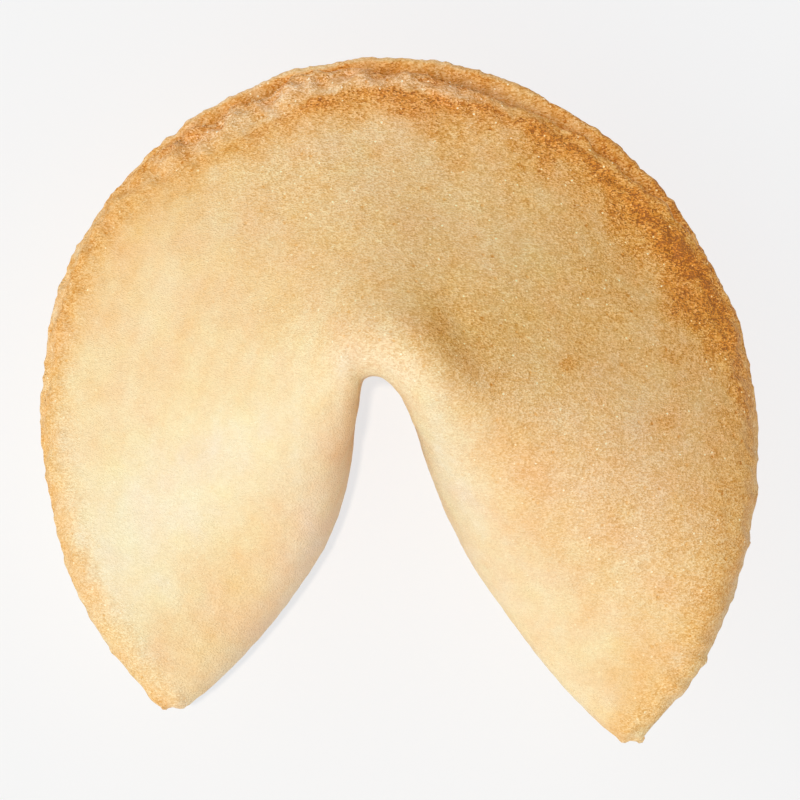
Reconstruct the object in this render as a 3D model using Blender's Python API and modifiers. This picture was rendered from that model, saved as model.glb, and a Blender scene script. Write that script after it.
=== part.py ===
"""Fortune cookie: a baked disc of wafer, folded in half and then bent over a narrow rim.

The cookie lies on its back panel. X runs from horn to horn, +Y points away from the notch and +Z is up.
The model starts as the flat disc that the baker lifts off the griddle. A fold function carries each point
of the disc to its place on the finished cookie, and a Solidify modifier gives the sheet its thickness.
All the shape constants are in millimetres and degrees.
"""
import bmesh
import bpy
import numpy as np

# ---- driving dimensions, millimetres ----
DISC_RADIUS = 45.0            # the flat wafer, 90 mm across
WALL = 1.8                    # thickness of the wafer
LIP_SPACING = 2.8             # middle of the front lip to middle of the back lip, so the slit is 1 mm
FLANGE = 2.4                  # where the back lip stands proud, both lie flat for about this far
FOLD_RADIUS = 1.4             # tightest turn of the fold, at the tips
REST_DEPTH = 12.8             # the back panel is flattened this far behind the plane of the lips
PRESSED = 0.03                # and its skin is pressed in by this much, so that it is truly flat
CELLS_ALONG_FOLD = 40
CELLS_ACROSS_FOLD = 54
LIP_CHAMFER = 0.45            # the worn corners of the lips

# ---- the rim after folding: polar angle in degrees, radius of the middle of the sheet ----
RIM = [(-55.4, 32.5), (-40, 31.05), (-20, 29.0), (0, 27.65), (25, 26.75), (50, 26.4), (80, 27.05),
       (105, 27.65), (120, 27.9), (145, 28.4), (160, 28.4), (190, 28.4), (212, 29.6), (232.2, 30.45)]

# ---- the front lip stays behind the back lip over the top: polar angle, step in mm ----
LIP_STEP = [(-56, 0.0), (12, 0.0), (28, 0.5), (46, 1.3), (60, 1.5), (72, 1.9), (90, 1.4),
            (106, 0.9), (120, 1.3), (134, 0.6), (150, 0.0), (233, 0.0)]

# ---- the notch line: distance from the middle of the fold, X and Y of the middle of the sheet ----
NOTCH = [(-45, -18.7, -23.9), (-40, -15.85, -21.7), (-34, -12.75, -18.6), (-28, -9.85, -15.2),
         (-20, -6.7, -10.1), (-13, -4.95, -5.0), (-7, -4.35, -0.4), (-3.5, -3.95, 2.1),
         (0, -2.3, 3.1), (3.8, -0.4, 1.75), (8, 0.95, -1.4), (13.5, 2.75, -5.4), (22, 6.3, -12.3),
         (31.5, 10.85, -18.7), (38, 14.35, -22.9), (45, 18.4, -26.6)]

# ---- height of each panel's crest over the plane of the lips, by distance from the middle of the fold ----
FRONT_CREST = [(-45, 1.4), (-38, 2.7), (-30, 5.3), (-20, 9.7), (-10, 12.1), (0, 12.5),
               (10, 13.8), (20, 13.8), (30, 9.7), (38, 4.6), (45, 1.4)]
BACK_CREST = [(-45, 1.4), (-38, 4.6), (-30, 9.8), (-21, 13.0), (-10, 13.7), (0, 13.8),
              (10, 13.7), (21, 13.0), (30, 9.8), (38, 4.6), (45, 1.4)]

# ---- a cross section from fold to lip: control heights of its curve, as shares of the puff ----
LEFT_SECTION = (0.0, 1.1, 1.35, 1.06, 0.18, 0.0)
RIGHT_SECTION = (0.0, -0.46, 1.37, 1.3, -0.15, 0.0)
NOTCH_SECTION = (0.0, 1.46, 1.38, 0.24, 0.15, 0.0)
NOTCH_SPREAD = 21.0           # how far along the fold the front panel keeps the notch's section
SIDE_SPREAD = 9.0             # and how gently the left horn's section turns into the right horn's
BACK_SECTION = (0.0, 0.75, 1.45, 1.05, 0.42, 0.0)
BACK_NOTCH_SECTION = (0.0, 0.80, 1.62, 0.88, 0.57, 0.0)
NOTCH_REACH = 9.0             # how far along the fold the notch shapes the fold itself
DIVE = 5.0                    # how far the fold sinks in behind the two ears at the notch
DIVE_REACH = 6.0
EAR_PUSH = 1.0                # how far the ears lean back out over the notch
EAR_PLACE = 9.0
EAR_REACH = 5.0

# ---- relief of the front panel: X, Y, half length, half width, turn in degrees, height ----
FRONT_RELIEF = [(4.1, 4.8, 3.1, 1.35, -58.0, -0.75), (0.9, 2.7, 4.5, 2.6, -20.0, 2.8),
                (27.5, -8.5, 10.0, 6.0, 102.0, 3.5), (-14.0, 17.6, 6.6, 4.6, 55.0, 0.95),
                (-8.5, -10.5, 8.5, 3.0, 55.0, -2.0), (-6.8, -8.2, 5.2, 1.4, 72.0, -0.6),
                (8.4, 6.8, 3.9, 3.1, -44.0, -0.45)]

SEAM_SWAY = 0.7               # the line of the lips wanders this far from its plane
UNEVEN = 0.22                 # soft hills and hollows of the baked sheet

# ---- looks ----
WAFER_COLOUR = (0.83, 0.56, 0.27, 1.0)
WAFER_ROUGHNESS = 0.62

MM = 0.001


def smooth_through(knots, at):
    """Natural cubic spline through rows of (place, value, ...), read at the given places."""
    rows = np.array(knots, float)
    place, value = rows[:, 0], rows[:, 1:]
    gap = np.diff(place)[:, None]
    slope = np.diff(value, axis=0) / gap
    size = len(place)
    matrix = np.eye(size)
    right = np.zeros_like(value)
    for i in range(1, size - 1):
        matrix[i, i - 1:i + 2] = gap[i - 1, 0], 2 * (gap[i - 1, 0] + gap[i, 0]), gap[i, 0]
        right[i] = 6 * (slope[i] - slope[i - 1])
    bend = np.linalg.solve(matrix, right)
    i = np.clip(np.searchsorted(place, at) - 1, 0, size - 2)
    step = (at - place[i])[:, None]
    first = slope[i] - gap[i] * (2 * bend[i] + bend[i + 1]) / 6
    third = (bend[i + 1] - bend[i]) / (6 * gap[i])
    result = value[i] + step * (first + step * (bend[i] / 2 + step * third))
    return result[:, 0] if value.shape[1] == 1 else result


def bezier(controls, t):
    """One-dimensional Bezier curve by repeated blending of neighbouring controls."""
    level = [c + 0 * t for c in controls]
    while len(level) > 1:
        level = [(1 - t) * a + t * b for a, b in zip(level, level[1:])]
    return level[0]


def round_turn(distance, radius, power=2.0):
    """Leaves the fold upright and runs straight on after a turn of about this radius."""
    return (distance**power + radius**power)**(1 / power) - radius


def hill(x, y, centre_x, centre_y, half_length, half_width, turn):
    """A long soft bump: one at its centre, falling off as a bell curve."""
    c, s = np.cos(np.radians(turn)), np.sin(np.radians(turn))
    along = (x - centre_x) * c + (y - centre_y) * s
    across = (y - centre_y) * c - (x - centre_x) * s
    return np.exp(-0.5 * (along / half_length)**2 - 0.5 * (across / half_width)**2)


def section_heights(flat_x, front, at_notch):
    """Control heights of the section at each point: the notch's own near the notch, the horns' beyond it."""
    right = 0.5 + 0.5 * np.tanh(flat_x / SIDE_SPREAD)
    near = np.where(front, np.exp(-(flat_x / NOTCH_SPREAD)**2), at_notch)
    heights = []
    for left_horn, right_horn, notch, back, back_notch in zip(
            LEFT_SECTION, RIGHT_SECTION, NOTCH_SECTION, BACK_SECTION, BACK_NOTCH_SECTION):
        horn = np.where(front, (1 - right) * left_horn + right * right_horn, back)
        middle = np.where(front, notch, back_notch)
        heights.append(near * middle + (1 - near) * horn)
    return heights


def fold_sheet(flat_x, flat_y):
    """Carry points of the flat disc to the middle of the folded sheet.

    flat_x runs along the fold and flat_y across it, front half positive. Each line across the fold becomes
    one section from the notch line to the rim: it leaves the fold upright, climbs to the crest and comes
    down to the lip.
    """
    front = flat_y > 0
    reach = np.sqrt(np.maximum(DISC_RADIUS**2 - flat_x**2, 1e-6))
    off_fold = np.minimum(np.abs(flat_y), reach)
    t = off_fold / reach

    # where the section ends on the rim: distance run along the rim from the nearer tip
    around = np.arccos(np.clip(flat_x / DISC_RADIUS, -1, 1))
    half_rim = DISC_RADIUS * np.pi / 2
    from_tip = DISC_RADIUS * np.minimum(around, np.pi - around)
    run = round_turn(from_tip, FOLD_RADIUS) * half_rim / round_turn(half_rim, FOLD_RADIUS)
    share = run / (DISC_RADIUS * np.pi)
    share = np.where(around < np.pi / 2, share, 1 - share)
    angle = RIM[0][0] + (RIM[-1][0] - RIM[0][0]) * share
    step = smooth_through(LIP_STEP, angle)
    radius = smooth_through(RIM, angle) - front * step
    rim = np.stack([radius * np.cos(np.radians(angle)), radius * np.sin(np.radians(angle))], 1)

    # the section in its own plane
    notch = smooth_through(NOTCH, flat_x)
    width = np.linalg.norm(rim - notch, axis=1)
    outward = (rim - notch) / np.maximum(width, 1e-6)[:, None]
    at_notch = np.exp(-(flat_x / NOTCH_REACH)**2)
    half_slit = LIP_SPACING / 2
    crest = np.where(front, smooth_through(FRONT_CREST, flat_x), smooth_through(BACK_CREST, flat_x))
    puff = np.maximum(crest - half_slit, 0)
    nose = FOLD_RADIUS + 0.45 * puff + 5 * at_notch
    power = 2 + 2 * at_notch
    out = width * round_turn(off_fold, nose, power) / round_turn(reach, nose, power)
    out = out + at_notch * DIVE * np.exp(-(off_fold / DIVE_REACH)**2)
    out = out - at_notch * EAR_PUSH * np.exp(-((off_fold - EAR_PLACE) / EAR_REACH)**2)
    rise = bezier(section_heights(flat_x, front, at_notch), t)
    flange = np.exp(-((reach - off_fold) / FLANGE)**2) * np.clip(step / 1.2, 0, 1)
    lift = half_slit * off_fold / np.hypot(off_fold, FOLD_RADIUS) + puff * rise * (1 - flange)
    x = notch[:, 0] + outward[:, 0] * out
    y = notch[:, 1] + outward[:, 1] * out

    # relief, unevenness and the wandering seam, none of them at the fold itself
    away = np.clip(4 * t - 0.4, 0, 1)
    for *place, height in FRONT_RELIEF:
        lift = lift + front * away * (1 - t**8) * height * hill(x, y, *place)
    waves = np.sin(0.17 * x + 0.9) * np.sin(0.21 * y + 0.4) + np.sin(0.29 * x - 0.23 * y + 2.0)
    lift = lift + UNEVEN * away * (1 - t) * waves * np.where(front, 1, -1) * np.minimum(puff / 6, 1)
    z = lift * np.sign(flat_y)
    z = z + SEAM_SWAY * t**2 * np.sin(2 * np.pi * share + 0.6) * from_tip / np.hypot(from_tip, 8)
    return x, y, np.maximum(z, -REST_DEPTH)


def new_mesh_object(name, mesh, collection):
    """Put a mesh in the collection as an object."""
    part = bpy.data.objects.new(name, mesh)
    collection.objects.link(part)
    return part


def flat_disc():
    """A square grid pressed into a disc, with closer rows by the fold, where the sheet turns most."""
    grid = bmesh.new()
    bmesh.ops.create_grid(grid, x_segments=CELLS_ALONG_FOLD, y_segments=CELLS_ACROSS_FOLD, size=1.0)
    mesh = bpy.data.meshes.new("cookie")
    grid.to_mesh(mesh)
    grid.free()
    place = np.empty(3 * len(mesh.vertices), dtype=np.float32)
    mesh.vertices.foreach_get("co", place)
    u, v = place.reshape(-1, 3)[:, :2].astype(float).T
    v = v * (0.45 + 0.55 * v**2)
    flat_x = DISC_RADIUS * u * np.sqrt(1 - v**2 / 2)
    flat_y = DISC_RADIUS * v * np.sqrt(1 - u**2 / 2)
    return mesh, flat_x, flat_y


def wafer_material():
    """Matt golden wafer."""
    material = bpy.data.materials.new("baked wafer")
    material.use_nodes = True
    shader = material.node_tree.nodes["Principled BSDF"]
    shader.inputs["Base Color"].default_value = WAFER_COLOUR
    shader.inputs["Roughness"].default_value = WAFER_ROUGHNESS
    shader.inputs["Metallic"].default_value = 0.0
    return material


def build_cookie(collection):
    """Fold the disc, thicken it, wear its lips and set it down."""
    mesh, flat_x, flat_y = flat_disc()
    folded = np.stack(fold_sheet(flat_x, flat_y), 1) * MM
    mesh.vertices.foreach_set("co", folded.astype(np.float32).ravel())
    mesh.update()
    sheet = new_mesh_object("sheet", mesh, collection)
    wall = sheet.modifiers.new("wafer thickness", "SOLIDIFY")
    wall.thickness = WALL * MM
    wall.offset = 0.0
    wall.use_rim = True
    worn = sheet.modifiers.new("worn lips", "BEVEL")
    worn.width = LIP_CHAMFER * MM
    worn.segments = 1
    worn.limit_method = "ANGLE"
    worn.angle_limit = np.radians(60)
    cookie = stand_flat(sheet, collection)
    cookie.data.materials.append(wafer_material())
    return cookie


def stand_flat(sheet, collection):
    """Take the thick sheet as a mesh, press its lowest places flat and set it down on the origin.

    The flat places come to Z = 0, and the middle of the whole box comes over the origin.
    """
    depsgraph = bpy.context.evaluated_depsgraph_get()
    mesh = bpy.data.meshes.new_from_object(sheet.evaluated_get(depsgraph))
    bpy.data.objects.remove(sheet)
    place = np.empty(3 * len(mesh.vertices), dtype=np.float32)
    mesh.vertices.foreach_get("co", place)
    place = place.reshape(-1, 3)
    place[:, :2] -= (place[:, :2].min(axis=0) + place[:, :2].max(axis=0)) / 2
    floor = -(REST_DEPTH + WALL / 2 - PRESSED) * MM
    place[:, 2] = np.maximum(place[:, 2] - floor, 0)
    mesh.vertices.foreach_set("co", place.ravel())
    mesh.shade_smooth()
    mesh.update()
    return new_mesh_object("cookie", mesh, collection)


def main():
    """Clear the scene and build the one piece of the part."""
    for old in list(bpy.data.objects):
        bpy.data.objects.remove(old)
    collection = bpy.data.collections.new("fortune cookie")
    bpy.context.scene.collection.children.link(collection)
    build_cookie(collection)


main()
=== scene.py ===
# %% [markdown]
# # A fortune cookie
#
# A fortune cookie starts as a thin disc of batter, baked until its edge browns. While it is still hot and
# limp, the baker folds it in half like a taco and then bends the fold over the rim of a cup. It sets in
# seconds: two plump horns, a deep notch where the cup was, and two lips that lie one on the other.
#
# This lesson makes the cookie the same way. It takes the points of a flat disc, carries each of them to its
# place on the folded sheet, gives the sheet two skins and a worn rim, and bakes it with a material that
# knows how far each point is from the rim.

import bpy
import numpy as np
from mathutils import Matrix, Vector


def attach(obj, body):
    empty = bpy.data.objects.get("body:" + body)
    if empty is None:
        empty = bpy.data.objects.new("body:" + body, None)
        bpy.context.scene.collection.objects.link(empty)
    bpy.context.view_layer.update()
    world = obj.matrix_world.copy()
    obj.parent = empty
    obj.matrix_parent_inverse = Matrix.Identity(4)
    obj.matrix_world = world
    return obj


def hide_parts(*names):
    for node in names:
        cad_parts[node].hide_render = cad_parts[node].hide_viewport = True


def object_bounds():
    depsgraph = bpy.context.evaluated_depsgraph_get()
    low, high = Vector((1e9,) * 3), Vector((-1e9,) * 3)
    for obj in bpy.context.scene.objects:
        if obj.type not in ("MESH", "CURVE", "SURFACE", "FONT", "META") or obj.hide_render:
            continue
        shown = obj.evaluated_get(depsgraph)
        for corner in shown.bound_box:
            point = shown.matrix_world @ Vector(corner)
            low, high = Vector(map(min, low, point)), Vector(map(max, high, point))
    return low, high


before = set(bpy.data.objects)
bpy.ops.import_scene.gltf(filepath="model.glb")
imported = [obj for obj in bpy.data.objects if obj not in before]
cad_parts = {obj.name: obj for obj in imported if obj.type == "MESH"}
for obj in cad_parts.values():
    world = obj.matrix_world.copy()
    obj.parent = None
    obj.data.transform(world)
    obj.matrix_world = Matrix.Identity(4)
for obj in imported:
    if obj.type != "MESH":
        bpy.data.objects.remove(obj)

cad_low, cad_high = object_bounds()
MM = 0.001
print("the solid's box in mm:", [round((b - a) / MM, 2) for a, b in zip(cad_low, cad_high)])

# %% [markdown]
# ## The wafer
#
# The sheet could be sculpted by hand, or draped by a cloth simulation. Neither gives the same fold twice, and
# a fold that the solid already has is easier to repeat as a formula. So the numbers here are those of the
# solid: the size of the disc, its thickness, the outline of the rim after folding and the line of the notch.

# %% The sizes of the wafer, in millimetres
DISC_RADIUS = 45.0            # the flat wafer, 90 mm across
WALL = 1.8                    # its thickness
LIP_SPACING = 2.8             # middle of the front lip to middle of the back lip
FOLD_RADIUS = 1.4             # tightest turn of the fold, at the tips
REST_DEPTH = 12.8             # the back panel is flattened this far behind the plane of the lips
PRESSED = 0.03                # and its skin is pressed in by this much
LIP_PRESS = 0.50              # each lip is squeezed this much towards the other, over its last few mm
LIP_CURL, CURL_REACH = 0.45, 1.3       # a free edge of the back lip curls this far forward, near its end
FREE_STEP = 1.2               # a step between the lips that leaves the back lip quite free
PRESS_FADE, SWAY_FADE = 4.0, 8.0       # how far from the tips the press and the sway of the lips set in
FLANGE = 2.4                  # and where the back lip stands proud, both lie flat for about this far

# the rim after folding: polar angle in degrees, radius of the middle of the sheet
RIM = [(-55.4, 32.5), (-40, 31.05), (-20, 29.0), (0, 27.65), (25, 26.75), (50, 26.4), (80, 27.05),
       (105, 27.65), (120, 27.9), (145, 28.4), (160, 28.4), (190, 28.4), (212, 29.6), (232.2, 30.45)]

# how far the front lip stays behind the back lip: polar angle, step in mm
LIP_STEP = [(-56, 0.0), (12, 0.0), (28, 0.5), (46, 1.3), (60, 1.5), (72, 1.9), (90, 1.4),
            (106, 0.9), (120, 1.3), (134, 0.6), (150, 0.0), (233, 0.0)]

# the notch line: distance from the middle of the fold, X and Y of the middle of the sheet
NOTCH = [(-45, -18.7, -23.9), (-40, -15.85, -21.7), (-34, -12.75, -18.6), (-28, -9.85, -15.2),
         (-20, -6.7, -10.1), (-13, -4.95, -5.0), (-7, -4.35, -0.4), (-3.5, -3.95, 2.1),
         (0, -2.3, 3.1), (3.8, -0.4, 1.75), (8, 0.95, -1.4), (13.5, 2.75, -5.4), (22, 6.3, -12.3),
         (31.5, 10.85, -18.7), (38, 14.35, -22.9), (45, 18.4, -26.6)]

# height of each panel's crest over the plane of the lips, by distance from the middle of the fold
FRONT_CREST = [(-45, 1.4), (-38, 2.7), (-30, 5.3), (-20, 9.7), (-10, 12.1), (0, 12.5),
               (10, 13.8), (20, 13.8), (30, 9.7), (38, 4.6), (45, 1.4)]
BACK_CREST = [(-45, 1.4), (-38, 4.6), (-30, 9.8), (-21, 13.0), (-10, 13.7), (0, 13.8),
              (10, 13.7), (21, 13.0), (30, 9.8), (38, 4.6), (45, 1.4)]

# a cross section from fold to lip: control heights of its curve, as shares of the puff
LEFT_SECTION = (0.0, 1.1, 1.35, 1.06, 0.18, 0.0)
RIGHT_SECTION = (0.0, -0.46, 1.37, 1.3, -0.15, 0.0)
NOTCH_SECTION = (0.0, 1.46, 1.38, 0.24, 0.15, 0.0)
NOTCH_SPREAD = 21.0           # how far along the fold the front panel keeps the notch's section
SIDE_SPREAD = 9.0             # and how gently the left horn's section turns into the right horn's
BACK_SECTION = (0.0, 0.75, 1.45, 1.05, 0.42, 0.0)
BACK_NOTCH_SECTION = (0.0, 0.80, 1.62, 0.88, 0.57, 0.0)
NOTCH_REACH = 9.0             # how far along the fold the notch shapes the fold itself
NOSE_OF_PUFF = 0.45           # the fold turns wider by this share of the panel's puff
NOSE_AT_NOTCH = 5.0           # and by this many mm where the cup's rim pushed it in
DIVE, DIVE_REACH = 5.0, 6.0   # the fold sinks in behind the two ears at the notch
EAR_PUSH, EAR_PLACE, EAR_REACH = 1.0, 9.0, 5.0

# relief of the front panel: X, Y, half length, half width, turn in degrees, height
FRONT_RELIEF = [(4.1, 4.8, 3.1, 1.35, -58.0, -0.75), (0.9, 2.7, 4.5, 2.6, -20.0, 2.8),
                (27.5, -8.5, 10.0, 6.0, 102.0, 3.5), (-14.0, 17.6, 6.6, 4.6, 55.0, 0.95),
                (-8.5, -10.5, 8.5, 3.0, 55.0, -2.0), (-6.8, -8.2, 5.2, 1.4, 72.0, -0.6),
                (8.4, 6.8, 3.9, 3.1, -44.0, -0.45)]
SEAM_SWAY = 0.7               # the line of the lips wanders this far from its plane
UNEVEN = 0.22                 # soft hills and hollows of the baked sheet
print("a disc", 2 * DISC_RADIUS, "mm across, with a rim", round(2 * np.pi * DISC_RADIUS), "mm long")

# %% Curves through a few chosen numbers


def smooth_through(knots, at):
    """Natural cubic spline through rows of (place, value, ...): between two knots a cubic whose slope
    and bend agree with its neighbours', and whose bend is nothing at both ends."""
    rows = np.array(knots, float)
    place, value = rows[:, 0], rows[:, 1:]
    gap = np.diff(place)[:, None]
    slope = np.diff(value, axis=0) / gap
    size = len(place)
    matrix = np.eye(size)
    right = np.zeros_like(value)
    for i in range(1, size - 1):
        matrix[i, i - 1:i + 2] = gap[i - 1, 0], 2 * (gap[i - 1, 0] + gap[i, 0]), gap[i, 0]
        right[i] = 6 * (slope[i] - slope[i - 1])
    bend = np.linalg.solve(matrix, right)
    i = np.clip(np.searchsorted(place, at) - 1, 0, size - 2)
    step = (at - place[i])[:, None]
    first = slope[i] - gap[i] * (2 * bend[i] + bend[i + 1]) / 6
    third = (bend[i + 1] - bend[i]) / (6 * gap[i])
    result = value[i] + step * (first + step * (bend[i] / 2 + step * third))
    return result[:, 0] if value.shape[1] == 1 else result


def bezier(controls, t):
    """One-dimensional Bezier curve: neighbouring controls are blended again and again, t of the way."""
    level = [c + 0 * t for c in controls]
    while len(level) > 1:
        level = [(1 - t) * a + t * b for a, b in zip(level, level[1:])]
    return level[0]


def round_turn(distance, radius, power=2.0):
    """Starts level and runs straight on after a turn: the root of distance and radius, less the radius."""
    return (distance**power + radius**power)**(1 / power) - radius


def hill(x, y, centre_x, centre_y, half_length, half_width, turn):
    """A long soft bump: one at its centre, falling off as a bell curve along and across it."""
    c, s = np.cos(np.radians(turn)), np.sin(np.radians(turn))
    along = (x - centre_x) * c + (y - centre_y) * s
    across = (y - centre_y) * c - (x - centre_x) * s
    return np.exp(-0.5 * (along / half_length)**2 - 0.5 * (across / half_width)**2)


print("the rim's radius at the very top:", smooth_through(RIM, np.array([90.0])).round(2), "mm")

# %% [markdown]
# ## The fold
#
# Each line across the fold becomes one section of the cookie. It starts on the notch line, leaves the fold
# upright, climbs to a crest and comes down to its place on the rim. The place on the rim comes from the
# length run along it, which folding can't change. The front half of the disc goes up and the back half
# goes down.

# %% Carry points of the disc to the folded sheet


def rim_place(flat_x):
    """Share of the rim between the tips, its polar angle, and the length from the nearer tip: all from the
    length run along the flat disc's rim, which starts slowly in the turn of the fold at each tip."""
    around = np.arccos(np.clip(flat_x / DISC_RADIUS, -1, 1))
    half_rim = DISC_RADIUS * np.pi / 2
    from_tip = DISC_RADIUS * np.minimum(around, np.pi - around)
    run = round_turn(from_tip, FOLD_RADIUS) * half_rim / round_turn(half_rim, FOLD_RADIUS)
    share = run / (DISC_RADIUS * np.pi)
    share = np.where(around < np.pi / 2, share, 1 - share)
    return share, RIM[0][0] + (RIM[-1][0] - RIM[0][0]) * share, from_tip


def section_heights(flat_x, front, at_notch):
    """Control heights of the section at each point: the notch's own near the notch, the horns' beyond it."""
    right = 0.5 + 0.5 * np.tanh(flat_x / SIDE_SPREAD)
    near = np.where(front, np.exp(-(flat_x / NOTCH_SPREAD)**2), at_notch)
    heights = []
    for left_horn, right_horn, notch, back, back_notch in zip(
            LEFT_SECTION, RIGHT_SECTION, NOTCH_SECTION, BACK_SECTION, BACK_NOTCH_SECTION):
        horn = np.where(front, (1 - right) * left_horn + right * right_horn, back)
        middle = np.where(front, notch, back_notch)
        heights.append(near * middle + (1 - near) * horn)
    return heights


def fold_sheet(flat_x, flat_y):
    """Middle of the folded sheet: notch line plus a walk outwards to the rim, with a Bezier curve as lift."""
    front = flat_y > 0
    reach = np.sqrt(np.maximum(DISC_RADIUS**2 - flat_x**2, 1e-6))
    off_fold = np.minimum(np.abs(flat_y), reach)
    t = off_fold / reach
    share, angle, from_tip = rim_place(flat_x)
    step = smooth_through(LIP_STEP, angle)
    radius = smooth_through(RIM, angle) - front * step
    rim = np.stack([radius * np.cos(np.radians(angle)), radius * np.sin(np.radians(angle))], 1)

    notch = smooth_through(NOTCH, flat_x)
    width = np.linalg.norm(rim - notch, axis=1)
    outward = (rim - notch) / np.maximum(width, 1e-6)[:, None]
    at_notch = np.exp(-(flat_x / NOTCH_REACH)**2)
    half_slit = LIP_SPACING / 2
    crest = np.where(front, smooth_through(FRONT_CREST, flat_x), smooth_through(BACK_CREST, flat_x))
    puff = np.maximum(crest - half_slit, 0)
    nose = FOLD_RADIUS + NOSE_OF_PUFF * puff + NOSE_AT_NOTCH * at_notch
    power = 2 + 2 * at_notch
    out = width * round_turn(off_fold, nose, power) / round_turn(reach, nose, power)
    out = out + at_notch * DIVE * np.exp(-(off_fold / DIVE_REACH)**2)
    out = out - at_notch * EAR_PUSH * np.exp(-((off_fold - EAR_PLACE) / EAR_REACH)**2)
    rise = bezier(section_heights(flat_x, front, at_notch), t)
    flange = np.exp(-((reach - off_fold) / FLANGE)**2) * np.clip(step / FREE_STEP, 0, 1)
    lift = half_slit * off_fold / np.hypot(off_fold, FOLD_RADIUS) + puff * rise * (1 - flange)
    lift = lift - LIP_PRESS * t**8 * from_tip / np.hypot(from_tip, PRESS_FADE)
    free = np.where(front, 0, np.clip(step / FREE_STEP, 0, 1))
    lift = lift - LIP_CURL * free * np.exp(-((reach - off_fold) / CURL_REACH)**2)
    x = notch[:, 0] + outward[:, 0] * out
    y = notch[:, 1] + outward[:, 1] * out

    # the relief sets in between a tenth and a third of the way from the fold to the rim
    away = np.clip(4 * t - 0.4, 0, 1)
    for *place, height in FRONT_RELIEF:
        lift = lift + front * away * (1 - t**8) * height * hill(x, y, *place)
    # soft hills: crossing waves 17 to 37 mm long, too long to show as a pattern
    waves = np.sin(0.17 * x + 0.9) * np.sin(0.21 * y + 0.4) + np.sin(0.29 * x - 0.23 * y + 2.0)
    lift = lift + UNEVEN * away * (1 - t) * waves * np.where(front, 1, -1) * np.minimum(puff / 6, 1)
    z = lift * np.sign(flat_y)
    z = z + SEAM_SWAY * t**2 * np.sin(2 * np.pi * share + 0.6) * from_tip / np.hypot(from_tip, SWAY_FADE)
    return np.stack([x, y, np.maximum(z, -REST_DEPTH)], 1)


tips = fold_sheet(np.array([-DISC_RADIUS, DISC_RADIUS]), np.array([0.0, 0.0]))
print("the tips are", round(np.linalg.norm(tips[1] - tips[0]), 1), "mm apart")

# %% [markdown]
# ## Two skins and a rim
#
# A Solidify modifier could thicken the sheet. Here the thickness is worked out, because the outer
# skin carries all the crumbs and needs many more points than the inner one, which hardly shows. Both are
# square grids of two parameters pressed into a disc. A band of half-round rings closes the rim between them.

# %% A square of parameters pressed into a disc
OUTER_POINTS = 275            # along each side of the outer skin's grid
INNER_STEP = 2                # the inner skin keeps every second point
LIP_ROUND = 0.35              # the rim ends in a half round this deep
RING_TURNS = np.radians([40, 90, 140])     # where its rings stand, from the outer skin round to the inner


def disc_grid(count, radius):
    """Each of u and v runs from -1 to 1, and shortens as the other nears its end, so that the square's
    edge lands on the circle."""
    u, v = np.meshgrid(np.linspace(-1, 1, count), np.linspace(-1, 1, count))
    return np.stack([radius * u * np.sqrt(1 - v**2 / 2), radius * v * np.sqrt(1 - u**2 / 2)], 2)


def grid_normals(points):
    """Normal at each point of a grid: the sum of its faces' normals, each the cross product of the
    face's diagonals."""
    face = np.cross(points[1:, 1:] - points[:-1, :-1], points[1:, :-1] - points[:-1, 1:])
    face = np.pad(face, ((1, 1), (1, 1), (0, 0)))
    total = face[1:, 1:] + face[:-1, 1:] + face[1:, :-1] + face[:-1, :-1]
    return total / np.linalg.norm(total, axis=-1, keepdims=True)


def edge_loop(grid):
    """The outermost points of a grid, anticlockwise from the first corner."""
    return np.concatenate([grid[0, :-1], grid[:-1, -1], grid[-1, :0:-1], grid[:0:-1, 0]])


def folded(flat_points):
    """fold_sheet for a whole grid."""
    return fold_sheet(*flat_points.reshape(-1, 2).T).reshape(*flat_points.shape[:-1], 3)


disc = disc_grid(OUTER_POINTS, DISC_RADIUS)
sheet = folded(disc)
sheet_normal = grid_normals(sheet)
sheet_out = sheet - folded(disc * 0.998)
sheet_out /= np.maximum(np.linalg.norm(sheet_out, axis=-1, keepdims=True), 1e-9)
print("outer skin:", sheet.shape[:2], "points")

# %% [markdown]
# ## Unevenness of one size
#
# Batter that dries on a hot plate is never quite smooth. It swells in soft hills some 7 mm apart, it
# blisters every 2 mm, and its rim is ragged. Each is a sum of plane waves that run every way with random
# phases: it has a wavelength but no direction and no grid. A texture with displacement could do the same, but
# waves worked out here leave the relief in the mesh itself.

# %% Ripples and steps


def ripples(points, wavelength, seed, waves=40):
    """Sum of plane waves of nearly one wavelength, every direction and phase, scaled to spread 1."""
    draw = np.random.default_rng(seed)
    direction = draw.normal(size=(waves, 3))
    direction /= np.linalg.norm(direction, axis=1, keepdims=True)
    pace = 2 * np.pi / wavelength * draw.uniform(0.7, 1.5, size=(waves, 1))
    phase = draw.uniform(0, 2 * np.pi, size=waves)
    return np.sin(points @ (direction * pace).T + phase).sum(axis=-1) / np.sqrt(waves / 2)


def step_up(value, low, high):
    """0 up to low, 1 from high, and a smooth S between them."""
    t = np.clip((value - low) / (high - low), 0, 1)
    return t * t * (3 - 2 * t)


print("ripples 5 mm long spread", ripples(sheet, 5.0, seed=11).std().round(2), "about 0")

# %% [markdown]
# ## The margin
#
# A ladle of batter runs out thin at its edge, and the edge dries ragged. So the last millimetre of the sheet
# is thinner, mostly on its outer side. Where the front lip lies behind the back one, both edges can be seen:
# there the front lip keeps more of its outer side, thins inside instead, and is more ragged.

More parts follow.
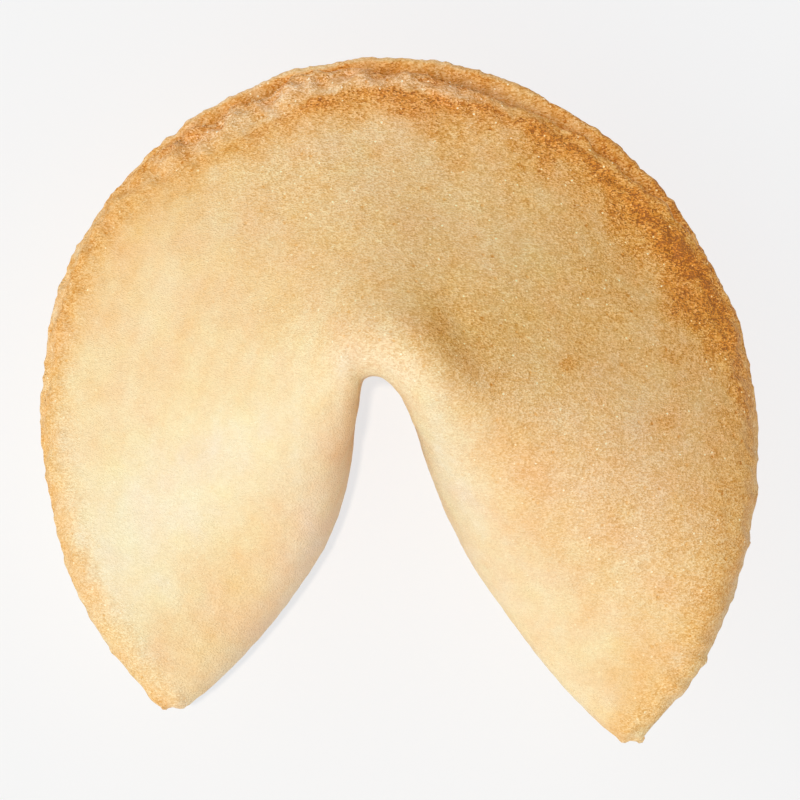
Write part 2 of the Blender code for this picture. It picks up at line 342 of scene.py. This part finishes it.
# %% The thin ragged margin
MARGIN = 1.35                 # the batter ran thin over about the last 1.35 mm
THINNED = 0.95                # and lost this much of its thickness there, on its outer side
THINNED_INSIDE = 0.1          # and this much on its inner side
MOVED_INSIDE = 0.55           # but where the front lip is set back, about this much moves to its inner side
SCALLOPS, SCALLOPS_SET_BACK = 0.04, 0.16           # depth of the waves of the rim, and how much deeper there
RAG_REACH = 1.5               # they fade this far from the rim
rim_gap = DISC_RADIUS - np.hypot(disc[..., 0], disc[..., 1])
lip_step = smooth_through(LIP_STEP, rim_place(disc[..., 0].ravel())[1]).reshape(rim_gap.shape)
set_back = np.clip(lip_step, 0, 1) * (disc[..., 1] > 0)
margin = MARGIN * (1 + 0.25 * ripples(sheet, 5.0, seed=11) + 0.12 * ripples(sheet, 2.0, seed=12))
margin = np.maximum(margin * (1 + 0.4 * set_back), 0.5)
thin = np.maximum(1 - rim_gap / margin, 0)**(1.6 - 0.2 * set_back)
outer_lift = WALL / 2 - THINNED * (1 - MOVED_INSIDE * set_back) * thin
inner_lift = -WALL / 2 + (THINNED_INSIDE + MOVED_INSIDE * set_back) * thin
off_tip = np.sqrt(np.clip(1 - (disc[..., 0] / DISC_RADIUS)**2, 0, 1))
scallop = SCALLOPS + SCALLOPS_SET_BACK * set_back
ragged = scallop * (ripples(sheet, 4.5, seed=13) + 0.6 * ripples(sheet, 2.0, seed=14))
ragged = ragged + 0.035 * ripples(sheet, 1.0, seed=15) + 0.02 * ripples(sheet, 0.6, seed=16)
ragged = ragged * step_up(off_tip, 0.05, 0.35)
sheet = sheet + (ragged * np.exp(-rim_gap / RAG_REACH))[..., None] * sheet_out
print("thickness at the rim, mm:", (outer_lift - inner_lift)[0].min().round(2), "to", WALL)

# %% Put both skins and the rings in one list of points
every_second = (slice(None, None, INNER_STEP),) * 2
rim_middle, rim_normal, rim_out = edge_loop(sheet), edge_loop(sheet_normal), edge_loop(sheet_out)
centre_lift = edge_loop(outer_lift + inner_lift)[:, None] / 2
half_wall = edge_loop(outer_lift - inner_lift)[:, None] / 2
ring_place = [rim_middle + (centre_lift + half_wall * np.cos(turn)) * rim_normal
              + LIP_ROUND * np.sin(turn) * rim_out for turn in RING_TURNS]
ring_facing = [rim_normal * np.cos(turn) + rim_out * np.sin(turn) for turn in RING_TURNS]
outer_place = sheet + outer_lift[..., None] * sheet_normal
inner_place = (sheet + inner_lift[..., None] * sheet_normal)[every_second]
place = np.concatenate([outer_place.reshape(-1, 3), *ring_place, inner_place.reshape(-1, 3)])
facing = np.concatenate([grid_normals(outer_place).reshape(-1, 3), *ring_facing,
                         -grid_normals(inner_place).reshape(-1, 3)])
flat = np.concatenate([disc.reshape(-1, 2), *[edge_loop(disc)] * len(RING_TURNS),
                       disc[every_second].reshape(-1, 2)])
ring_points = len(rim_middle)
print("points in all:", len(place), "of which on the rim:", ring_points * len(RING_TURNS))

# %% Join the points with faces


def grid_faces(numbers):
    """Quads of a grid of point numbers, each going round anticlockwise."""
    corners = [numbers[:-1, :-1], numbers[:-1, 1:], numbers[1:, 1:], numbers[1:, :-1]]
    return np.stack(corners, axis=-1).reshape(-1, 4)


outer_numbers = np.arange(OUTER_POINTS**2).reshape(OUTER_POINTS, OUTER_POINTS)
inner_side = len(range(0, OUTER_POINTS, INNER_STEP))
first_ring = OUTER_POINTS**2
first_inner = first_ring + ring_points * len(RING_TURNS)
inner_numbers = first_inner + np.arange(inner_side**2).reshape(inner_side, inner_side)
loops = [edge_loop(outer_numbers)]
loops += [first_ring + k * ring_points + np.arange(ring_points) for k in range(len(RING_TURNS))]
bands = [np.stack([a, b, np.roll(b, -1), np.roll(a, -1)], 1) for a, b in zip(loops, loops[1:])]
quads = np.concatenate([grid_faces(outer_numbers), grid_faces(inner_numbers)[:, ::-1], *bands])

last, mate = loops[-1], edge_loop(inner_numbers)
even, odd, after = last[::2], last[1::2], np.roll(last, -2)[::2]
mate_after = np.roll(mate, -1)
triangles = np.concatenate([np.stack([even, mate, odd], 1), np.stack([odd, mate, mate_after], 1),
                            np.stack([odd, mate_after, after], 1)])
print("quads:", len(quads), "triangles:", len(triangles), "as triangles:", 2 * len(quads) + len(triangles))

# %% [markdown]
# ## Relief
#
# Four sizes of unevenness push the skin in and out along its normals: soft hills, blisters and two sizes of
# crumbs. The blisters and the larger crumbs grow towards the rim, where the thin batter boiled dry, and most
# over the top, where the front lip crumbled as it was bent.

# %% Relief of the baked skin
# height on the panels, and how much more near the rim; wavelength; all in mm; and the seed of its waves
RELIEF = [(0.045, 0, 7.0, 3), (0.014, 0.055, 2.4, 4), (0.010, 0.035, 1.2, 5), (0.004, 0, 0.8, 6)]
COARSE_REACH = 2.5            # the skin is coarse this near the rim
RING_SHARE = 0.15             # but its rounded end stays nearly smooth
TOP_SHARE = 1.6               # and the lip over the top is this much coarser again
TOP_STARTS, TOP_ENDS = (66, 90), (130, 150)        # where the top is, in degrees round the rim
angle_here = rim_place(flat[:, 0])[1]
over_top = step_up(angle_here, *TOP_STARTS) * (1 - step_up(angle_here, *TOP_ENDS)) * (flat[:, 1] > 0)
is_inner = np.arange(len(place)) >= first_inner
on_ring = (np.arange(len(place)) >= first_ring) & ~is_inner
to_rim = DISC_RADIUS - np.hypot(flat[:, 0], flat[:, 1])
near_rim = np.exp(-(to_rim / COARSE_REACH)**2) * np.where(on_ring, RING_SHARE, 1)
near_rim = near_rim * (1 + TOP_SHARE * over_top)
relief = sum((inland + more * near_rim) * ripples(place, wavelength, seed)
             for inland, more, wavelength, seed in RELIEF)
print("relief in mm, from", relief.min().round(2), "to", relief.max().round(2))

# %% Move the points out by the relief and set the cookie down
shell = place.copy()
place = place + facing * relief[:, None]
shift = (np.array(cad_low) + np.array(cad_high)) / 2 / MM - (shell.min(axis=0) + shell.max(axis=0)) / 2
place[:, :2] += shift[:2]
place[:, 2] = np.maximum(place[:, 2] + REST_DEPTH + WALL / 2 - PRESSED, 0)
print("moved by", shift[:2].round(3), "mm to the middle of the solid's box")

# %% [markdown]
# ## How far each point is baked, with some painted shade
#
# Sugar and flour brown where the wafer is thin and hot: just behind the rim of the disc, and wherever the
# plate pressed hardest. Painting it by hand would have to be done again after every change of shape, and a
# texture in space would cut straight through the folds. So the amount is worked out for each point from its
# distance to the rim, and kept as an attribute: the browning then follows the sheet round its folds. The same
# amount also carries some painted shade: darker hollows on the top lip, a darker patch in the dimple over the
# notch, and paler strips that offset the shade on the notch's flanks.

# %% How brown the rim is, and where the panels are paler or darker
# polar angle, browning of the margin, at its peak behind it and of the inner skin, reach of the peak in mm
RIM_BAKE = [(-56, 0.44, 0.42, 0.30, 1.6), (-38, 0.46, 0.55, 0.40, 2.1), (-14, 0.58, 0.69, 0.55, 2.2),
            (8, 0.74, 0.88, 0.72, 2.1), (22, 0.86, 1.13, 0.80, 2.5), (38, 0.84, 1.09, 0.78, 2.8),
            (58, 0.76, 0.97, 0.76, 3.0), (72, 0.62, 0.88, 0.68, 3.6), (90, 0.52, 0.93, 0.72, 2.6),
            (106, 0.46, 0.84, 0.70, 2.3), (122, 0.49, 0.69, 0.68, 2.1), (138, 0.60, 0.62, 0.60, 1.7),
            (154, 0.50, 0.68, 0.55, 1.5), (172, 0.55, 0.59, 0.45, 0.8), (188, 0.56, 0.44, 0.35, 0.6),
            (204, 0.52, 0.42, 0.30, 0.8), (216, 0.44, 0.40, 0.30, 1.2), (233, 0.54, 0.70, 0.30, 1.7)]
# paler and darker patches: X, Y, half length, half width, turn in degrees, change. Most are the wafer's own
# colour; the darker patch in the dimple at (4.2, 4.0) is partly painted shade, and the paler strips beside
# the notch at (3.6, -4.5) and (-6.5, -12) are partly painted light that offsets their shade
BAKE_AND_SHADE_PATCHES = [(-13, -4.5, 8, 3.5, 35, -0.21), (-22, -12, 6, 3, 55, -0.10), (-13, -14.5, 6.5, 3.5, 58, 0.11),
                (-2, 17.5, 10, 3, 0, -0.08), (-3, 14.5, 4, 2.5, 0, 0.05), (-17, 8, 4, 3, 0, -0.05),
                (4.2, 4.0, 3.8, 2, -54, 0.23), (12, 6, 6, 3, 0, 0.14), (7, 3, 5, 3, 60, -0.04),
                (8.5, 13, 4, 2.5, -35, -0.04), (8.5, -12, 12, 2.2, -65, -0.12), (9, -6, 5, 2.5, -60, 0.10),
                (-2, 2.4, 6, 1.3, -8, -0.09), (3.6, -4.5, 5, 1.4, -70, -0.18), (20.5, 8, 2, 5, 0, -0.08),
                (-4.2, -3, 3, 1.2, 80, 0.08), (-6.5, -12, 6, 1.6, 72, -0.15), (-9, 22.5, 3, 1.5, 20, -0.12),
                (-2, 22, 5, 1.4, 0, -0.10), (15.8, 19.2, 1.6, 1, -40, -0.14), (13.1, 2.75, 0.3, 0.3, 0, 1.0),
                (-17.8, -21.5, 3, 2, 50, 0.12)]
print("places along the rim:", len(RIM_BAKE), "patches on the panels:", len(BAKE_AND_SHADE_PATCHES))

# %% The browning of the panels: a slow rise towards the top right, the patches with their painted shade, and rings round the disc
x, y, z = place.T
base = 0.40 + 0.0045 * x + 0.006 * y
for *spot, change in BAKE_AND_SHADE_PATCHES:
    base = base + change * hill(x, y, *spot)
rings = ripples(np.stack([to_rim, 0.05 * x, 0.05 * y], 1), 3.0, seed=27)
base = base + 0.020 * ripples(place, 5.0, seed=23) + 0.015 * ripples(place, 2.0, seed=24) + 0.012 * rings
base = np.clip(base, 0.05, 0.75)
print("browning of the panels:", base.mean().round(2), "on average")

# %% Where the brown band stands, how far it reaches inwards, and the browning behind it
PEAK_BEHIND = 0.95            # mm from the rim to the peak
PEAK_OVER_TOP = 1.45          # and how much further over the top, where the front lip is pale
PALE_LIP = (-10.5, 22.5, 5, 3, 27)     # the patch where the pale lip is broadest, by another 1 mm
LEAST_REACH = 0.4
MARGIN_FADE = 0.9             # the margin's own browning turns into the peak's over this width
edge, peak, inside, reach = smooth_through(RIM_BAKE, angle_here).T
reach = reach * (1 + 0.22 * ripples(place, 6.0, seed=21) + 0.15 * ripples(place, 2.5, seed=22))
reach = np.maximum(reach, LEAST_REACH)
behind = PEAK_BEHIND + PEAK_OVER_TOP * over_top + 0.15 * ripples(place, 3.0, seed=28)
behind = behind + hill(x, y, *PALE_LIP)
bake_and_shade = base + (peak - base) * np.exp(-0.8 * (np.maximum(to_rim - behind, 0) / reach)**1.3)
print("the brown band stands", behind.min().round(1), "to", behind.max().round(1), "mm behind the rim")

# %% The browning of each point, from 0, pale cream, to 1, brown, with the painted shade of the lip's hollows
EDGE_BROWNER, EDGE_WIDTH = 0.14, 0.6   # over the top the very edge of the lip is browner than its crests
HOLLOWS_PAINTED_DARKER = 0.3                  # and its hollows are painted darker, a painted warm shade, by this much for each mm of depth
INNER_PALER = 0.2                      # deep inside the hollow the wafer is paler than at the slit
edge = edge + 0.05 * ripples(place, 2.0, seed=25)
at_edge = EDGE_BROWNER * np.exp(-(to_rim / EDGE_WIDTH)**2)
# painted shade: the hollows of the lip over the top get browner the deeper they are
edge = edge + over_top * (at_edge - HOLLOWS_PAINTED_DARKER * np.minimum(relief, 0))
bake_and_shade = edge + (bake_and_shade - edge) * step_up(to_rim, behind - MARGIN_FADE, behind)
inside = inside + 0.06 * ripples(place, 2.0, seed=26) - INNER_PALER * step_up(to_rim, 4, 9)
bake_and_shade = np.where(is_inner, inside, bake_and_shade)
toasted = step_up(bake_and_shade, 0.4, 0.9)
bake_and_shade = bake_and_shade + (0.012 + 0.02 * toasted) * ripples(place, 1.2, seed=29)
bake_and_shade = bake_and_shade + 0.02 * toasted * ripples(place, 3.0, seed=30)
print("browning from", bake_and_shade.min().round(2), "to", bake_and_shade.max().round(2))

# %% [markdown]
# ## Crumb and blush, and their painted shade
#
# Two more amounts ride on the points in the same way. The crumb says how coarse the skin looks: the toasted
# rim is all grains, and the collar over the notch is pitted. It is also a painted shade of the grain: the
# grain is drawn stronger towards the top right, where the light grazes, and fainter on the pale left side,
# where it falls square on. The blush says how rosy the colour is, because baked batter leans to pink in some
# places and to the yellow of egg in others; on the shaded flanks of the notch and the shaded slope of the top
# lip it is also a painted warm shade.

# %% How coarse and how rosy each point is, painted shade included
SMOOTH, MORE_ON_SHADED_SIDE, MORE_IF_TOASTED = 0.11, 0.36, 0.30       # crumb of the lit side, and what adds to it: painted grain shade on the shaded side, and toasting
MORE_AT_RIM, RIM_WIDTH = 0.30, 2.5                             # the rim's part, and its width in mm
COLLAR, MORE_ON_COLLAR = (-2, 4, 7, 2, -10), 0.14              # the pitted patch over the notch
# painted shade of the grain: stronger towards the top right, where light grazes, fainter on the lit lower
# left
coarse_and_shaded_side = step_up(x + y, -8, 12)
crumb_and_grain_shade = SMOOTH + MORE_ON_SHADED_SIDE * coarse_and_shaded_side + MORE_IF_TOASTED * toasted + MORE_ON_COLLAR * hill(x, y, *COLLAR)
at_rim = np.exp(-(to_rim / RIM_WIDTH)**4)
crumb_and_grain_shade = crumb_and_grain_shade + MORE_AT_RIM * np.maximum(over_top, 1 - coarse_and_shaded_side) * at_rim
# rosier and yellower patches: X, Y, half length, half width, turn in degrees, change. The two rosy strips on
# the notch's left flank, at (-5.5, -7) and (-11.5, -18), are painted warm shade in that flank's shade
BLUSH_AND_WARM_SHADE_PATCHES = [(15, -6, 8, 5, 0, 0.6), (-5.5, -7, 9, 1.8, 70, 0.9), (9, 7, 5, 4, 0, -0.5),
                 (0, 24, 20, 3, 0, 0.6), (-11.5, -18, 8, 1.6, 53, 0.5)]
blush_and_warm_shade = 0.25 + 0.12 * ripples(place, 6.0, seed=31) + 0.10 * ripples(place, 2.5, seed=32)
for *spot, change in BLUSH_AND_WARM_SHADE_PATCHES:
    blush_and_warm_shade = blush_and_warm_shade + change * hill(x, y, *spot)
# the top lip's margin is rosier: partly its own pink, partly a painted warm tint over its shaded slope
blush_and_warm_shade = blush_and_warm_shade + 0.6 * over_top * np.exp(-(to_rim / 1.6)**2)
print("crumb up to", crumb_and_grain_shade.max().round(2), "and blush up to", blush_and_warm_shade.max().round(2))

# %% [markdown]
# ## The mesh
#
# One mesh takes all the points and faces at once, in metres. Its object stays at the origin, unturned, so the
# patterns of the material, which read the object's own coordinates, lie still on the cookie.

# %% Make the mesh and stand it in for the solid


def make_piece(name, points, faces_of_four, faces_of_three):
    """A smooth-shaded object from points in millimetres and two arrays of faces."""
    mesh = bpy.data.meshes.new(name)
    mesh.from_pydata((points * MM).tolist(), [], faces_of_four.tolist() + faces_of_three.tolist())
    mesh.shade_smooth()
    mesh.update()
    piece = bpy.data.objects.new(name, mesh)
    bpy.context.scene.collection.objects.link(piece)
    return piece


wafer = make_piece("folded_wafer", place, quads, triangles)
for name, values in (("bake_and_shade", bake_and_shade), ("crumb_and_grain_shade", crumb_and_grain_shade), ("blush_and_warm_shade", blush_and_warm_shade)):
    attribute = wafer.data.attributes.new(name, "FLOAT", "POINT")
    attribute.data.foreach_set("value", values.astype(np.float32))
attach(wafer, "root")
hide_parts("cookie")
print(wafer.name, "has", len(wafer.data.polygons), "faces")

# %% [markdown]
# ## Baked batter
#
# Egg, sugar and flour baked dry on a plate: a pale crust like fine sandpaper, matt, with a faint shine where
# sugar has melted. An image could be wrapped round the cookie, but it would stretch over the folds. Here the
# colour comes from a ramp of bakes, read at the amount each point carries, and cell patterns of true size
# break it up: grains, flecks and burst bubbles, and painted glints, specks of painted highlight where
# crystals of sugar catch the light.

# %% Helpers for materials


def linear(code):
    """The linear colour of an sRGB hex code: a power curve, with a short straight foot."""
    value = np.array([int(code[i:i + 2], 16) / 255 for i in (1, 3, 5)])
    value = np.where(value <= 0.04045, value / 12.92, ((value + 0.055) / 1.055)**2.4)
    return (*value, 1.0)


def add_node(tree, kind, settings=None, links=None):
    """Add one shader node: settings fill its properties or, by name or number, its sockets; links name
    the sockets that other nodes feed."""
    node = tree.nodes.new(kind)
    for key, value in (settings or {}).items():
        if isinstance(key, str) and hasattr(node, key):
            setattr(node, key, value)
        else:
            node.inputs[key].default_value = value
    for key, source in (links or {}).items():
        tree.links.new(source, node.inputs[key])
    return node


def new_material(name):
    """An empty node material, and its tree."""
    material = bpy.data.materials.new(name)
    material.use_nodes = True
    material.node_tree.nodes.clear()
    return material, material.node_tree


batter, tree = new_material("baked wafer batter")
where = add_node(tree, "ShaderNodeTexCoord").outputs["Object"]
baked_and_shaded, crumbly_and_shaded, rosy_and_warm_shade = [add_node(tree, "ShaderNodeAttribute", {"attribute_name": name}).outputs["Fac"]
                        for name in ("bake_and_shade", "crumb_and_grain_shade", "blush_and_warm_shade")]
print("material:", batter.name)

# %% Patterns of grains, flecks, pits and painted glints
# Flour grains and sugar crystals are 0.02 to 0.05 mm, too fine to show, so the grain is drawn at 0.10 mm.
GRAIN, FLECK = 0.10, 0.26                        # size of their cells, mm
PIT_SPACING, PIT_RADIUS = 1.2, 0.18              # burst bubbles
PAINTED_GLINT_SPACING, PAINTED_GLINT_RADIUS = 0.9, 0.11          # painted glints: specks of painted highlight where crystals of sugar catch the light


def cells(size, stretch=1.0):
    """A Voronoi pattern with cells of one size in mm, stretched along X by this many times."""
    squeezed = add_node(tree, "ShaderNodeMapping", {"Scale": (1 / stretch, 1, 1)}, {"Vector": where})
    return add_node(tree, "ShaderNodeTexVoronoi", {"Scale": 1 / (size * MM)}, {"Vector": squeezed.outputs[0]})


def maths(operation, *terms):
    """One sum; each term is a number or another node's output."""
    numbers = {i: term for i, term in enumerate(terms) if isinstance(term, (int, float))}
    links = {i: term for i, term in enumerate(terms) if i not in numbers}
    return add_node(tree, "ShaderNodeMath", {"operation": operation, **numbers}, links).outputs[0]


def tone_of(pattern):
    """A random tone for each of its cells, from -0.5 to 0.5, as strong as the crumb is coarse."""
    tone = add_node(tree, "ShaderNodeSeparateColor", links={0: pattern.outputs["Color"]}).outputs[0]
    return maths("MULTIPLY", maths("SUBTRACT", tone, 0.5), crumbly_and_shaded)


def dots(spacing, radius):
    """Scattered soft dots: as strong as the crumb is coarse near the middle of each cell, 0 elsewhere."""
    share = radius / spacing
    spot = add_node(tree, "ShaderNodeMapRange", {"From Min": share, "From Max": 0.5 * share},
                    {"Value": cells(spacing).outputs["Distance"]})
    return maths("MULTIPLY", spot.outputs[0], crumbly_and_shaded)


grain = cells(GRAIN, stretch=1.6)
grain_tone = tone_of(grain)
fleck_tone = tone_of(cells(FLECK, stretch=1.5))
pits = dots(PIT_SPACING, PIT_RADIUS)
painted_glints = dots(PAINTED_GLINT_SPACING, PAINTED_GLINT_RADIUS)
print("nodes so far:", len(tree.nodes))

# %% Colour of the crust: from cream through honey to caramel
BAKE_COLOURS = [(0.0, "#f8ecc8"), (0.2, "#f8e3b2"), (0.4, "#f6d296"), (0.55, "#f3c47c"), (0.7, "#efb45e"),
                (0.85, "#e69c34"), (1.0, "#d8841c"), (1.15, "#b4691a")]
DARKEST = BAKE_COLOURS[-1][0]
tone = baked_and_shaded
# the painted glints pull the colour towards cream here and lighten it below: painted highlights
for pattern, strength in ((fleck_tone, 0.10), (grain_tone, 0.62), (pits, 0.40), (painted_glints, -0.80)):
    tone = maths("MULTIPLY_ADD", pattern, strength, tone)
lightness = 1.0
for pattern, strength in ((grain_tone, -0.35), (fleck_tone, -0.12), (painted_glints, 0.35)):
    lightness = maths("MULTIPLY_ADD", pattern, strength, lightness)
ramp = add_node(tree, "ShaderNodeValToRGB", links={"Fac": maths("DIVIDE", tone, DARKEST)})
stops = ramp.color_ramp.elements
while len(stops) < len(BAKE_COLOURS):
    stops.new(0.5)
for stop, (at, code) in zip(stops, BAKE_COLOURS):
    stop.position = at / DARKEST
    stop.color = linear(code)
# the blush takes green out: rosy colour, and a painted warm shade on the notch's flanks and the top lip's
# slope
less_green = maths("MULTIPLY", maths("MULTIPLY_ADD", rosy_and_warm_shade, -0.07, 1.0), lightness)
tint = add_node(tree, "ShaderNodeCombineXYZ", links={0: lightness, 1: less_green, 2: lightness})
colour = add_node(tree, "ShaderNodeVectorMath", {"operation": "MULTIPLY"},
                  {0: ramp.outputs["Color"], 1: tint.outputs[0]})
print("steps of browning:", len(stops))

# %% Finish of the crust: sugar and fat have an IOR near 1.45, and the fine grain spreads their shine wide
GRAIN_DEPTH = 0.065           # mm
height = maths("SUBTRACT", grain.outputs["Distance"], pits)
bumps = add_node(tree, "ShaderNodeBump", {"Strength": 1.0, "Distance": GRAIN_DEPTH * MM}, {"Height": height})
crust = add_node(tree, "ShaderNodeBsdfPrincipled", {"Roughness": 0.55, "IOR": 1.45},
                 {"Base Color": colour.outputs[0], "Normal": bumps.outputs[0]})
add_node(tree, "ShaderNodeOutputMaterial", links={"Surface": crust.outputs["BSDF"]})
wafer.data.materials.append(batter)
print("nodes in all:", len(tree.nodes))

# %% [markdown]
# ## Floor
#
# The cookie lies on matt white paper. Plain white would throw warm light back from the cookie and show a deep
# shadow. Paper that is darker but glows a little stays even and pale, as a sheet lit from below does on a
# light table, and it keeps a faint cool shadow.

# %% A wide matt floor
FLOOR_SIZE = 3.0              # m
PAPER = (0.30, 0.26, 0.21, 1)
GLOW, GLOW_STRENGTH = (0.862, 0.925, 1, 1), 0.69


def floor_plane(size):
    """One square of this size in metres, level with the cookie's lowest point."""
    half_side = size / 2
    corners = [(-half_side, -half_side, 0), (half_side, -half_side, 0), (half_side, half_side, 0),
               (-half_side, half_side, 0)]
    mesh = bpy.data.meshes.new("floor")
    mesh.from_pydata(corners, [], [(0, 1, 2, 3)])
    plane = bpy.data.objects.new("floor", mesh)
    bpy.context.scene.collection.objects.link(plane)
    return plane


floor = floor_plane(FLOOR_SIZE)
paper, paper_tree = new_material("pale matt paper")
sheen_free = add_node(paper_tree, "ShaderNodeBsdfPrincipled",
                      {"Base Color": PAPER, "Roughness": 0.9, "Emission Color": GLOW,
                       "Emission Strength": GLOW_STRENGTH})
add_node(paper_tree, "ShaderNodeOutputMaterial", links={"Surface": sheen_free.outputs["BSDF"]})
floor.data.materials.append(paper)
print("floor:", FLOOR_SIZE, "m square")

# %% [markdown]
# ## Light
#
# A food studio has white walls and one soft lamp overhead. Area lights could stand in for each wall, but the
# room itself is simpler: light comes from everywhere, a little more from low on the left than from the right.
# A small sun from above adds the crispness that shows grains and wrinkles.

# %% A soft white room and a lamp overhead
ROOM_LIGHT = 0.85
ROOM_LEAN = (-0.50, -0.30, -0.51)      # added along this direction, taken away against it
LAMP_TOWARD, LAMP_STRENGTH, LAMP_SPREAD = (-0.034, 0.024, 1), 1.56, 1.5


def sun(name, toward, strength, spread):
    """A distant lamp that shines from the direction toward, its disc spread degrees wide."""
    lamp = bpy.data.lights.new(name, "SUN")
    lamp.energy = strength
    lamp.angle = np.radians(spread)
    light = bpy.data.objects.new(name, lamp)
    light.rotation_euler = Vector(toward).to_track_quat("Z", "Y").to_euler()
    bpy.context.scene.collection.objects.link(light)
    return light


room = bpy.data.worlds.new("soft white room")
room.use_nodes = True
sky = room.node_tree
sky.nodes.clear()
way = add_node(sky, "ShaderNodeTexCoord").outputs["Generated"]
lean = add_node(sky, "ShaderNodeVectorMath", {"operation": "DOT_PRODUCT", 1: ROOM_LEAN}, {0: way})
total = add_node(sky, "ShaderNodeMath", {"operation": "ADD", 1: ROOM_LIGHT}, {0: lean.outputs["Value"]})
walls = add_node(sky, "ShaderNodeBackground", {"Color": (1, 1, 1, 1)}, {"Strength": total.outputs[0]})
add_node(sky, "ShaderNodeOutputWorld", links={"Surface": walls.outputs[0]})
bpy.context.scene.world = room
lamp = sun("overhead", LAMP_TOWARD, LAMP_STRENGTH, LAMP_SPREAD)
print("lamp:", lamp.name)

# %% [markdown]
# ## Camera
#
# The camera looks straight down. A long lens from far away flattens the view, as a packshot's does, so the
# horns keep their sizes although the lips and the crests lie at different heights.

# %% Camera
FOCAL_LENGTH, SENSOR = 280, 36         # mm
FIELD = 63.5 * MM                      # width of the view at the height of the lips
LIP_HEIGHT = 13.7 * MM
OFF_CENTRE = 0.12 * MM
lens = bpy.data.cameras.new("camera")
lens.lens, lens.sensor_width = FOCAL_LENGTH, SENSOR
lens.clip_start, lens.clip_end = 0.01, 10
camera = bpy.data.objects.new("camera", lens)
camera.location = (OFF_CENTRE, 0, LIP_HEIGHT + FIELD * FOCAL_LENGTH / SENSOR)
bpy.context.scene.collection.objects.link(camera)
bpy.context.scene.camera = camera
bpy.context.scene.view_settings.view_transform = "Standard"
print("the camera hangs", round(camera.location.z, 3), "m above the floor")
